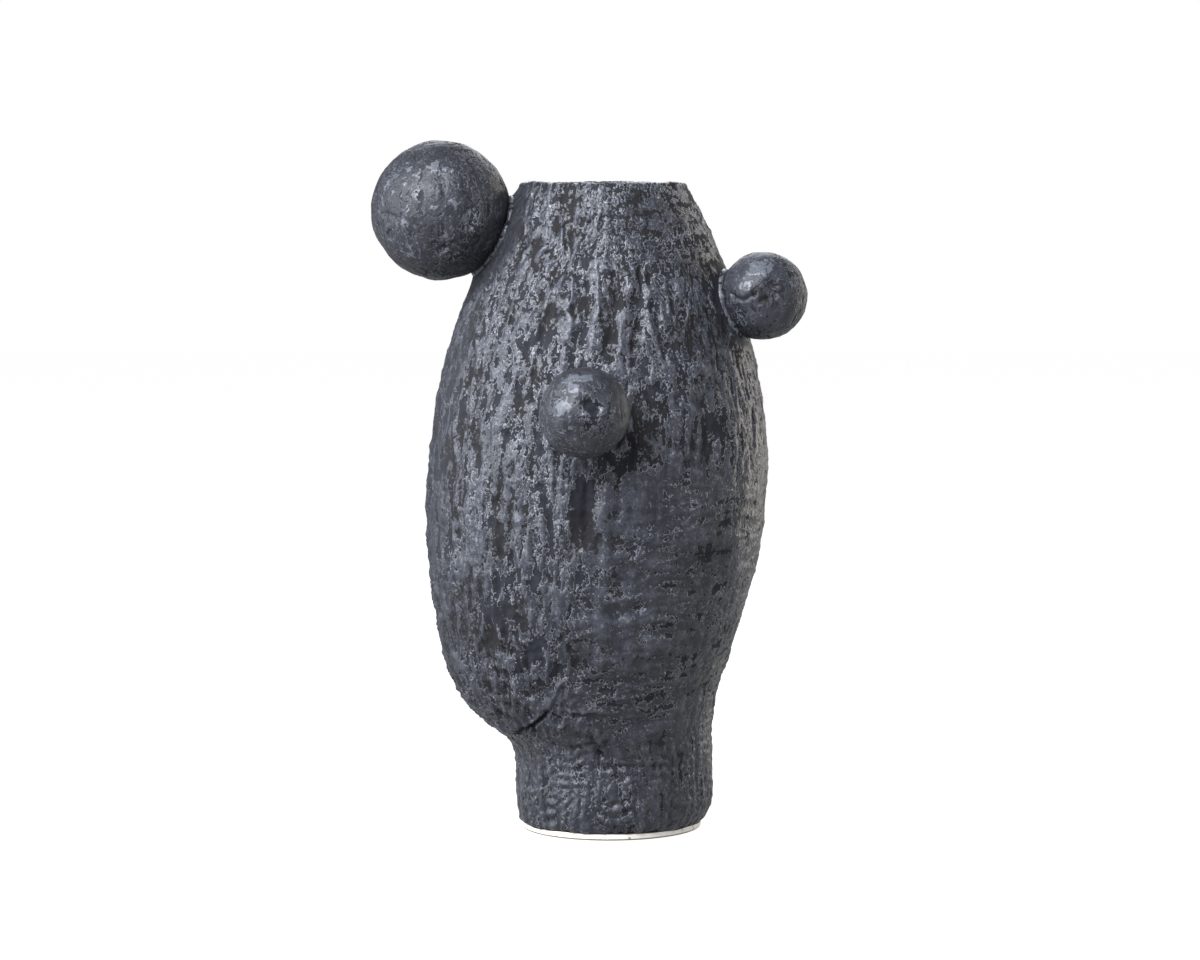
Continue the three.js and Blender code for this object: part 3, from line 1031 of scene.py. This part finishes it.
def ball_relief(name, directions, radius):
    """Height of the ball's surface over its sphere, and the worked part of it."""
    p, seed = directions * radius, BALL_SEEDS[name]
    p = p + BALL_DRIFT * wander(p, 8, seed + 5)
    lumps = 0.5 * noise(p, 17, seed) + 0.24 * noise(p, 9, seed + 1)
    strokes = 0.18 * noise(p, (4.2, 4.2, 11), seed + 2) + 0.15 * ridged(p, (8, 8, 12), seed + 3)
    skin = 0.05 * noise(p, 2.0, seed + 4)
    wrinkled = smoothstep(-0.1, 0.4, noise(p, 14, seed + 8))
    height = BALL_RELIEF * (lumps + (0.35 + 0.65 * wrinkled) * strokes + skin)
    drifted = directions + BALL_MARK_DRIFT * wander(p, 9, seed + 9)
    dents = spot_sum(BALL_DENTS[name], drifted, radius)
    folds = fold_sum(BALL_FOLDS[name], drifted, radius)
    return height - BALL_MARKS * (dents + folds), strokes * 2.0 * wrinkled + skin - 0.3 * folds


def ball_cracks(p, seed):
    """1 along the thin branching cracks in a ball's glaze."""
    branches = np.minimum(np.abs(noise(p, 10, seed + 14)), np.abs(noise(p, 6, seed + 15)))
    return (1 - smoothstep(0.015, 0.06, branches)) * smoothstep(-0.15, 0.25, noise(p, 12, seed + 16))


def ball_mottle(p, seed):
    """Cloudy lighter and darker areas of a ball's glaze."""
    return 0.55 * noise(p, 11, seed + 17) + 0.4 * noise(p, 4.5, seed + 18)


def thick_glaze(patches, p, seed):
    """1 inside the crisp, ragged patches where the glaze on a ball lies thick."""
    ragged = 0.62 * noise(p, 3.6, seed + 12) + 0.5 * noise(p, 1.6, seed + 13)
    return smoothstep(0.5, 0.66, patches + ragged)


def make_ball(ball):
    directions, faces = cube_sphere(BALL_FACE_STEPS[ball.name])
    p, seed = directions * ball.radius, BALL_SEEDS[ball.name]
    height, worked = ball_relief(ball.name, directions, ball.radius)
    patches = spot_sum(BALL_PATCHES[ball.name], directions, ball.radius)
    cracks = ball_cracks(p, seed)
    thick = thick_glaze(patches, p, seed) * (1 - cracks)
    height = height + PATCH_HEIGHT * thick - CRACK_DEPTH * cracks
    points = ball.centre + directions * (ball.radius - BALL_INSET + height)[:, None]
    seat_depth = outline.over(points)
    sunk = np.clip(-seat_depth - SEAT_SINK, 0, None)
    points = points - sunk[:, None] * ball.towards_seat
    satin = satin_glaze(points, worked + patches, BALL_MATTE_SHARE[ball.name])
    mottle = ball_mottle(p, seed) * (1 - thick)
    at_joint = 1 - smoothstep(1, 5, np.abs(seat_depth))
    even = (1 - thick - 0.6 * cracks) * (patches > BARE_BELOW)
    layers = {
        "satin": 0.6 * satin + 0.12 + 0.3 * thick - 0.45 * cracks,
        "raised": 0.4 * worked + BALL_TONE[ball.name] + mottle + 1.5 * thick,
        "smoothed": np.maximum(at_joint, BALL_SMOOTHNESS * even),
        "ragged": BALL_RAGGED,
        "inside": 0,
    }
    glaze_outside(new_piece(ball.name, points, [faces], layers=layers))


def collar_path(ball):
    """Points all round the joint that stand the collar's depth off both ball and body."""
    axis = ball.towards_seat
    side = unit(np.cross(axis, (0, 0, 1)))
    other = np.cross(axis, side)
    turns = all_round(COLLAR_STEPS)
    spokes = np.cos(turns)[:, None] * side + np.sin(turns)[:, None] * other
    halvings, widest = JOINT_SEARCH
    near, far = np.zeros(COLLAR_STEPS), np.full(COLLAR_STEPS, math.radians(widest))
    reach = ball.radius + COLLAR_STAND_OFF
    for _ in range(halvings):
        middle = (near + far) / 2
        points = ball.centre + reach * (np.cos(middle)[:, None] * axis + np.sin(middle)[:, None] * spokes)
        inside = outline.over(points) < COLLAR_STAND_OFF
        near, far = np.where(inside, middle, near), np.where(inside, far, middle)
    return points


def make_collar(ball):
    path = collar_path(ball)
    along = unit(np.roll(path, -1, axis=0) - np.roll(path, 1, axis=0))
    out = path - ball.centre
    out = unit(out - np.einsum("ij,ij->i", out, along)[:, None] * along)
    across = np.cross(along, out)
    thick = COLLAR_THICKNESS * (1 + 0.22 * noise(path, 7, 401) + 0.12 * noise(path, 3, 402))
    rows = []
    for turn in all_round(COLLAR_SIDES):
        rows.append(path + (math.cos(turn) * out + math.sin(turn) * across) * thick[:, None])
    points = np.array(rows).transpose(1, 0, 2).reshape(-1, 3)
    layers = {
        "satin": 0.08 + 0.5 * noise(points, 3, 403),
        # pale all round: painted highlight along the bead
        "raised": COLLAR_HIGHLIGHT_TONE,
        "smoothed": 0,
        "ragged": BALL_RAGGED,
        "inside": 0,
    }
    faces = grid_faces(COLLAR_STEPS, COLLAR_SIDES, closed=True)
    glaze_outside(new_piece(ball.name + "_collar", points, [faces], layers=layers))


# ---- Materials ----

class Nodes:
    """Short calls for building a material's nodes."""

    def __init__(self, name):
        self.material = bpy.data.materials.new(name)
        self.material.use_nodes = True
        self.tree = self.material.node_tree
        self.shader = self.tree.nodes["Principled BSDF"]
        coordinates = self.tree.nodes.new("ShaderNodeTexCoord")
        self.object = coordinates.outputs["Object"]

    def set(self, socket, value):
        if isinstance(value, bpy.types.NodeSocket):
            self.tree.links.new(value, socket)
        else:
            socket.default_value = value

    def math(self, operation, a, b=0.0, c=0.0):
        node = self.tree.nodes.new("ShaderNodeMath")
        node.operation = operation
        for socket, value in zip(node.inputs, (a, b, c)):
            self.set(socket, value)
        return node.outputs[0]

    def attribute(self, name):
        node = self.tree.nodes.new("ShaderNodeAttribute")
        node.attribute_name = name
        return node.outputs["Fac"]

    def speckle(self, size_mm, detail=2.0, stretch=(1, 1, 1), shift=0.0):
        """Noise from 0 to 1 whose spots are about size_mm across."""
        mapping = self.tree.nodes.new("ShaderNodeMapping")
        mapping.inputs["Scale"].default_value = stretch
        mapping.inputs["Location"].default_value = (shift, shift * 0.7, shift * 1.3)
        self.set(mapping.inputs["Vector"], self.object)
        node = self.tree.nodes.new("ShaderNodeTexNoise")
        node.inputs["Scale"].default_value = MM_PER_M / (2 * size_mm)
        node.inputs["Detail"].default_value = detail
        self.set(node.inputs["Vector"], mapping.outputs["Vector"])
        return node.outputs["Fac"]

    def step(self, value, low, high, to_low=0.0, to_high=1.0):
        node = self.tree.nodes.new("ShaderNodeMapRange")
        node.interpolation_type = "SMOOTHSTEP"
        self.set(node.inputs["Value"], value)
        for name, number in (("From Min", low), ("From Max", high), ("To Min", to_low), ("To Max", to_high)):
            node.inputs[name].default_value = number
        return node.outputs["Result"]

    def mix(self, share, a, b, kind="RGBA"):
        node = self.tree.nodes.new("ShaderNodeMix")
        node.data_type = kind
        self.set(node.inputs["Factor"], share)
        self.set(node.inputs["A"], a)
        self.set(node.inputs["B"], b)
        return node.outputs["Result"]

    def blend(self, share, a, b):
        return self.mix(share, a, b, "FLOAT")

    def times(self, first, *others):
        for other in others:
            first = self.math("MULTIPLY", first, other)
        return first

    def centred(self, value, gain):
        """A noise from 0 to 1 as a number round 0."""
        return self.times(self.math("SUBTRACT", value, 0.5), gain)

    def bump(self, height, depth_mm):
        node = self.tree.nodes.new("ShaderNodeBump")
        node.inputs["Distance"].default_value = depth_mm / MM_PER_M
        self.set(node.inputs["Height"], height)
        self.set(self.shader.inputs["Normal"], node.outputs["Normal"])


def satin_colour(m, broad, middle):
    """The satin glaze: slate, bluer and lighter where the raised number is high and darker where it is low,
    and palest where it lies thick. On the body that number follows the relief, so ridges get painted light
    and grooves painted shade.
    """
    raised = m.math("ADD", m.centred(middle, 1.6), m.attribute("raised"))
    slate = m.mix(broad, SLATE_DARK, SLATE_LIGHT)
    slate = m.mix(m.step(raised, -0.3, 0.9), slate, SLATE_BLUE)
    return m.mix(m.step(raised, 1.05, 1.2), slate, THICK_GLAZE)


def satin_lines(m, covered, ragged):
    """A fine network of dark lines in the satin glaze."""
    net = m.speckle(1.3, 1.0, stretch=(1, 1, 0.8), shift=12.7)
    lines = m.step(m.math("ABSOLUTE", m.math("SUBTRACT", net, 0.5)), 0.015, 0.05, 1.0, 0.0)
    return m.times(ragged, covered, lines)


def satin_edge_highlight(m, satin, broad, ragged):
    """A painted highlight: a pale, broken line where the satin glaze stops, standing in for light caught by
    the glaze's edge.
    """
    bare_side = m.step(satin, -0.05, 0.01)
    covered_side = m.step(satin, 0.05, 0.20, 1.0, 0.0)
    strength = m.math("MULTIPLY_ADD", ragged, 0.9, 0.1)
    return m.times(bare_side, covered_side, m.step(broad, 0.32, 0.56), strength)


def make_outer_glaze():
    """A satin blue-grey glaze that breaks over a matte brown one, and a plainer one inside."""
    m = Nodes("outer_glaze")
    fine = m.speckle(0.8, 3.0, stretch=(1, 1, 0.7))
    middle = m.speckle(2.2, 3.0, stretch=(1, 1, 0.55), shift=3.1)
    broad = m.speckle(14, 2.0, shift=5.7)
    grain = m.speckle(0.65, 2.0, shift=9.3)
    smoothed = m.attribute("smoothed")
    ragged = m.attribute("ragged")
    spots = m.math("ADD", m.centred(fine, 2.6), m.centred(middle, 1.9))
    satin = m.math("MULTIPLY_ADD", spots, ragged, m.attribute("satin"))
    covered = m.step(satin, -0.05, 0.05)
    lines = satin_lines(m, covered, ragged)
    brown = m.mix(m.step(broad, 0.4, 0.6), BROWN_DARK, BROWN_LIGHT)
    colour = m.mix(covered, brown, satin_colour(m, broad, middle))
    colour = m.mix(m.times(lines, 0.75), colour, SLATE_DARK)
    # painted highlight along the satin glaze's broken edge
    colour = m.mix(satin_edge_highlight(m, satin, broad, ragged), colour, GLAZE_EDGE_HIGHLIGHT)
    # painted glints: small pale specks standing in for highlights on tiny bumps
    pin_glints = m.times(m.step(grain, 0.58, 0.64), m.step(middle, 0.5, 0.6), 0.6)
    colour = m.mix(pin_glints, colour, PIN_GLINT)
    colour = m.mix(m.times(smoothed, 0.75), colour, SMOOTHED_CLAY)
    colour = m.mix(m.attribute("inside"), colour, m.mix(broad, INNER_DARK, INNER_LIGHT))
    m.set(m.shader.inputs["Base Color"], colour)
    roughness = m.blend(covered, MATTE_ROUGHNESS, SATIN_ROUGHNESS)
    roughness = m.blend(smoothed, roughness, SMOOTHED_ROUGHNESS)
    m.set(m.shader.inputs["Roughness"], m.math("ADD", m.centred(fine, 0.25), roughness))
    m.shader.inputs["IOR"].default_value = GLAZE_IOR
    skin = m.math("MULTIPLY_ADD", grain, 0.5, m.times(fine, 1.1))
    skin = m.times(skin, m.blend(covered, 0.5, 1.0), ragged)
    height = m.math("MULTIPLY_ADD", covered, 0.3, skin)
    m.bump(m.math("MULTIPLY_ADD", lines, -0.25, height), 0.45)
    return m.material


def make_inner_glaze():
    """A plain dark glaze, for the coil inside."""
    m = Nodes("inner_glaze")
    broad = m.speckle(12, 3.0)
    fine = m.speckle(1.2, 3.0, shift=2.2)
    m.set(m.shader.inputs["Base Color"], m.mix(broad, INNER_DARK, INNER_LIGHT))
    m.set(m.shader.inputs["Roughness"], m.step(fine, 0.2, 0.8, 0.45, 0.65))
    m.bump(fine, 0.15)
    return m.material


def make_bare_clay():
    """Pale clay, dark brown along the very bottom by the table and in a line under the glaze's wavy edge
    above.
    """
    m = Nodes("bare_clay")
    z = m.tree.nodes.new("ShaderNodeSeparateXYZ")
    m.set(z.inputs[0], m.object)
    wave = m.speckle(9, 2.0, stretch=(1, 1, 0.01), shift=4.4)
    height_mm = m.math("MULTIPLY", z.outputs["Z"], MM_PER_M)
    level = m.math("ADD", m.centred(wave, -2.2), height_mm)
    grain = m.speckle(0.8, 4.0)
    spots = m.speckle(1.6, 1.0, shift=8.8)
    clay = m.mix(grain, CLAY_DARK, CLAY_LIGHT)
    clay = m.mix(m.step(spots, 0.68, 0.74), clay, CLAY_SPOT)
    # darker brown towards the very bottom, where the clay meets the table
    clay = m.mix(m.step(height_mm, 0.8, 1.1, 0.85, 0.0), clay, DARK_BROWN_LINE)
    clay = m.mix(m.step(level, GLAZE_LINE - 0.3, GLAZE_LINE), clay, DARK_BROWN_LINE)
    clay = m.mix(m.step(level, GLAZE_LINE, GLAZE_LINE + 0.3), clay, SLATE_DARK)
    m.set(m.shader.inputs["Base Color"], clay)
    m.set(m.shader.inputs["Roughness"], m.step(grain, 0.2, 0.8, 0.75, 0.9))
    m.bump(grain, 0.12)
    return m.material


outer_glaze = make_outer_glaze()
inner_glaze = make_inner_glaze()
bare_clay = make_bare_clay()

make_walls()
make_slab()
make_seam_coil()
for ball in balls:
    make_ball(ball)
    make_collar(ball)


# ---- Studio ----

def add_area(name, azimuth, elevation, distance, width, height, power, colour):
    """A softbox that looks at the middle of the vase."""
    light = bpy.data.lights.new(name, "AREA")
    light.shape = "RECTANGLE"
    light.size = width
    light.size_y = height
    light.energy = power
    light.color = colour
    lamp = bpy.data.objects.new(name, light)
    turn, lift = math.radians(azimuth), math.radians(elevation)
    away = Vector((math.sin(turn) * math.cos(lift), -math.cos(turn) * math.cos(lift), math.sin(lift)))
    lamp.location = Vector(LIT_MIDDLE) + away * distance
    lamp.rotation_euler = (-away).to_track_quat("-Z", "Y").to_euler()
    bpy.context.scene.collection.objects.link(lamp)


def make_studio():
    """The softboxes, and a world that looks white to the camera and gives the vase a dim light."""
    world = bpy.data.worlds.new("studio")
    world.use_nodes = True
    tree = world.node_tree
    lit = tree.nodes["Background"]
    lit.inputs["Color"].default_value = WORLD_COLOUR
    lit.inputs["Strength"].default_value = WORLD_ON_OBJECT
    seen = tree.nodes.new("ShaderNodeBackground")
    seen.inputs["Color"].default_value = rgb(1, 1, 1)
    seen.inputs["Strength"].default_value = 1.0
    path = tree.nodes.new("ShaderNodeLightPath")
    choose = tree.nodes.new("ShaderNodeMixShader")
    tree.links.new(path.outputs["Is Camera Ray"], choose.inputs["Fac"])
    tree.links.new(lit.outputs[0], choose.inputs[1])
    tree.links.new(seen.outputs[0], choose.inputs[2])
    tree.links.new(choose.outputs[0], tree.nodes["World Output"].inputs["Surface"])
    bpy.context.scene.world = world
    for name, softbox in SOFTBOXES.items():
        add_area(name, *softbox)


def make_floor():
    """A pale floor that looks white to the camera and gives less light to the vase."""
    half = FLOOR_SIZE / 2
    corners = [(-half, -half, 0), (half, -half, 0), (half, half, 0), (-half, half, 0)]
    mesh = bpy.data.meshes.new("floor")
    mesh.from_pydata(corners, [], [(0, 1, 2, 3)])
    floor = bpy.data.objects.new("floor", mesh)
    bpy.context.scene.collection.objects.link(floor)
    m = Nodes("pale_floor")
    m.shader.inputs["Base Color"].default_value = FLOOR_COLOUR
    m.shader.inputs["Roughness"].default_value = 0.9
    m.shader.inputs["Specular IOR Level"].default_value = 0.0
    m.shader.inputs["Emission Color"].default_value = rgb(1, 1, 1)
    path = m.tree.nodes.new("ShaderNodeLightPath")
    glow = m.blend(path.outputs["Is Camera Ray"], FLOOR_LIGHT, FLOOR_GLOW)
    m.set(m.shader.inputs["Emission Strength"], glow)
    mesh.materials.append(m.material)
    floor.location.z = -FLOOR_DROP


def make_camera():
    camera = bpy.data.objects.new("camera", bpy.data.cameras.new("camera"))
    camera.data.lens = CAMERA_LENS
    camera.data.sensor_width = SENSOR_WIDTH
    camera.location = CAMERA_PLACE
    camera.rotation_euler = (math.radians(CAMERA_TILT), 0, 0)
    bpy.context.scene.collection.objects.link(camera)
    bpy.context.scene.camera = camera


make_studio()
make_floor()
make_camera()
bpy.context.scene.view_settings.view_transform = "Standard"
